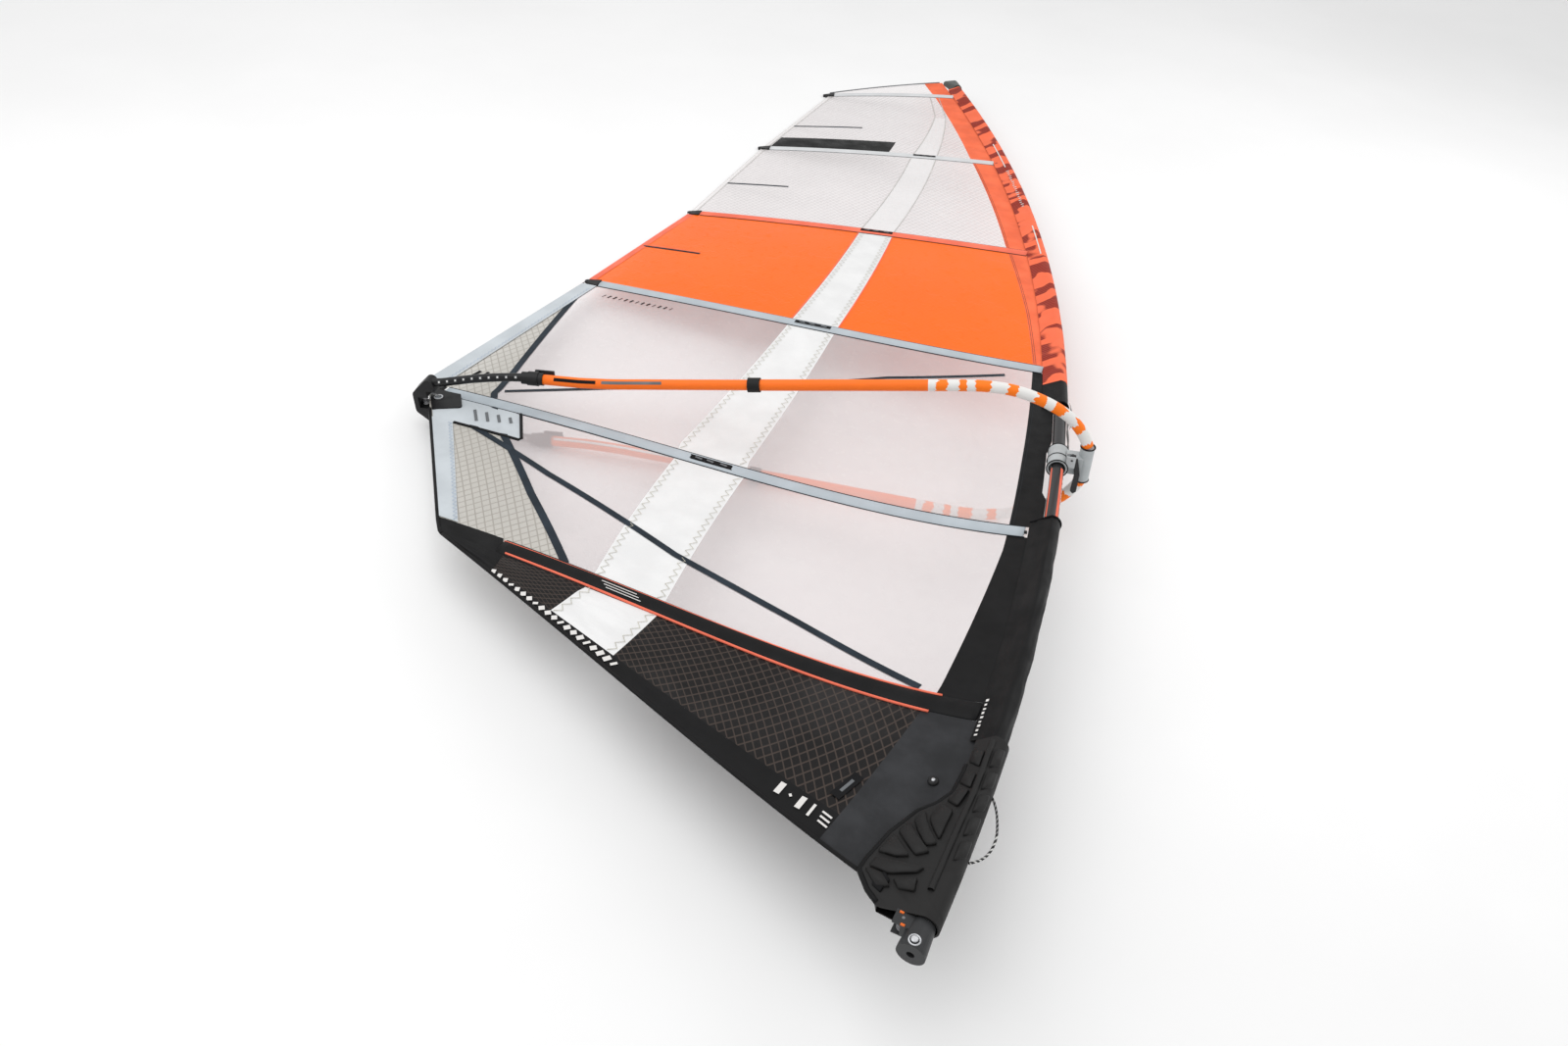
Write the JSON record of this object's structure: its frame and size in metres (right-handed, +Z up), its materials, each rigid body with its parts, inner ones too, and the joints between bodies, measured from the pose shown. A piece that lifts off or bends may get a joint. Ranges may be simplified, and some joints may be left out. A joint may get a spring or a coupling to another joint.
{
  "type": "windsurfing rig",
  "caption": "Windsurfing rig lying on its side: bent two-part mast, battened see-through sail with a fold strip, wishbone boom and mast base.",
  "frame": {"origin": "centre of the rig's footprint, on the floor it rests on", "axes": "+Y along the rig from the mast base to the mast tip, +X from the clew towards the mast, +Z up; the rig lies on its side, resting on the lower boom arm and the edge of the sail"},
  "size_m": [1.9285, 4.7121, 0.4568],
  "materials": {
    "mast_carbon": "smooth carbon-look tube",
    "ferrule_composite": "bare composite",
    "grey_plastic": "moulded",
    "coral_cloth": "woven polyester",
    "black_cloth": "woven polyester",
    "grey_cloth": "laminated cloth",
    "white_cloth": "coated cloth",
    "pale_grey_cloth": "woven polyester tape",
    "slate_tape": "woven load tape",
    "pale_film": "polyester film",
    "clear_film": "clear polyester film",
    "orange_film": "tinted polyester film",
    "scrim_film": "film laminated with a thread grid",
    "black_grid_film": "black film laminated with a thread grid",
    "batten_composite": "glass fibre rod",
    "black_plastic": "moulded nylon",
    "dark_grey_plastic": "moulded nylon",
    "pale_grey_plastic": "moulded nylon",
    "pulley_plastic": "moulded acetal",
    "pad_rubber": "moulded foam rubber",
    "black_rubber": "soft rubber",
    "steel": "brushed",
    "aluminium": "drawn tube",
    "black_aluminium": "black anodised tube",
    "boom_grip": "orange coated tube with a thin grip",
    "rope": "braided line",
    "rope_dark": "braided line"
  },
  "bodies": {
    "root": {"mast_bottom": "mast_carbon", "mast_top": "mast_carbon", "mast_ferrule": "ferrule_composite", "head_cap": "grey_plastic", "sleeve_upper": "coral_cloth", "sleeve_lower": "black_cloth", "luff_band": "coral_cloth", "luff_panel": "black_cloth", "head_panel": "pale_film", "upper_panels_fore": "pale_film", "upper_panel_aft": "pale_film", "middle_panel_aft": "pale_film", "orange_panel_fore": "orange_film", "orange_panel_aft": "orange_film", "window_upper_fore": "clear_film", "window_upper_aft": "clear_film", "window_lower_fore": "clear_film", "window_lower_aft": "clear_film", "leech_scrim": "scrim_film", "foot_panel_fore": "black_grid_film", "foot_panel_aft": "black_grid_film", "tack_panel": "grey_cloth", "foot_trim": "black_cloth", "fold_strip": "white_cloth", "batten_pockets": "pale_grey_cloth", "foot_batten_pocket": "black_cloth", "battens": "batten_composite", "batten_tips": "black_plastic", "batten_connectors": "black_plastic", "batten_tensioners": "black_plastic", "mini_battens": "slate_tape", "scrim_tapes": "slate_tape", "load_tapes": "slate_tape", "leech_tapes": "pale_grey_cloth", "clew_patch": "pale_grey_cloth", "clew_plate": "black_plastic", "clew_ring": "steel", "corner_patch": "black_cloth", "head_label": "black_cloth", "mast_pad": "pad_rubber", "extension_tube": "aluminium", "base_housing": "dark_grey_plastic", "tack_block": "black_plastic", "downhaul_line": "rope", "downhaul_tail": "rope_dark", "outhaul_line": "rope"},
    "release_button": {"release_button": "steel"},
    "base_sheaves": {"base_sheaves": "pulley_plastic"},
    "tack_sheaves": {"tack_sheaves": "pulley_plastic"},
    "boom": {"boom_head": "pale_grey_plastic", "clamp_liner": "black_rubber", "boom_arms": "boom_grip", "harness_collars": "black_rubber", "arm_collars": "black_plastic"},
    "clamp_lever": {"clamp_lever": "dark_grey_plastic"},
    "upper_collar_lever": {"upper_collar_lever": "dark_grey_plastic"},
    "lower_collar_lever": {"lower_collar_lever": "dark_grey_plastic"},
    "tail": {"tail_tubes": "black_aluminium", "tail_end": "black_plastic"},
    "outhaul_sheaves": {"outhaul_sheaves": "pulley_plastic"}
  },
  "joints": [
    {"name": "boom_height", "type": "slide", "parent": "root", "child": "boom", "axis": [0.0509, 0.9981, -0.0347], "range_m": [-0.06, 0], "deforming": ["outhaul_line"]},
    {"name": "clamp_lever_hinge", "type": "hinge", "parent": "boom", "child": "clamp_lever", "pos_m": [0.89891, -0.85548, 0.28228], "axis": [-0.0509, -0.9981, 0.0347], "range_deg": [0, 100]},
    {"name": "upper_collar_hinge", "type": "hinge", "parent": "boom", "child": "upper_collar_lever", "pos_m": [-0.60131, -0.84933, 0.22732], "axis": [-0.0843, 0.0389, 0.9957], "range_deg": [0, 100]},
    {"name": "lower_collar_hinge", "type": "hinge", "parent": "boom", "child": "lower_collar_lever", "pos_m": [-0.58377, -0.85743, 0.02022], "axis": [-0.0843, 0.0389, 0.9957], "range_deg": [0, 100]},
    {"name": "tail_slide", "type": "slide", "parent": "boom", "child": "tail", "axis": [-0.9959, -0.0359, -0.0829], "range_m": [0, 0.08], "deforming": ["outhaul_line"]},
    {"name": "outhaul_spin", "type": "hinge", "parent": "tail", "child": "outhaul_sheaves", "pos_m": [-0.92934, -0.89052, 0.0967], "axis": [-0.0843, 0.0389, 0.9957], "continuous": true},
    {"name": "base_sheaves_spin", "type": "hinge", "parent": "root", "child": "base_sheaves", "pos_m": [0.59653, -2.29105, 0.28064], "axis": [-0.0843, 0.0389, 0.9957], "continuous": true},
    {"name": "tack_sheaves_spin", "type": "hinge", "parent": "root", "child": "tack_sheaves", "pos_m": [0.62965, -2.17781, 0.27902], "axis": [-0.0843, 0.0389, 0.9957], "continuous": true},
    {"name": "release_button_press", "type": "slide", "parent": "root", "child": "release_button", "axis": [0.0843, -0.0389, -0.9957], "range_m": [0, 0.003], "stiffness_N_per_m": 400, "springref_m": -0.002}
  ]
}
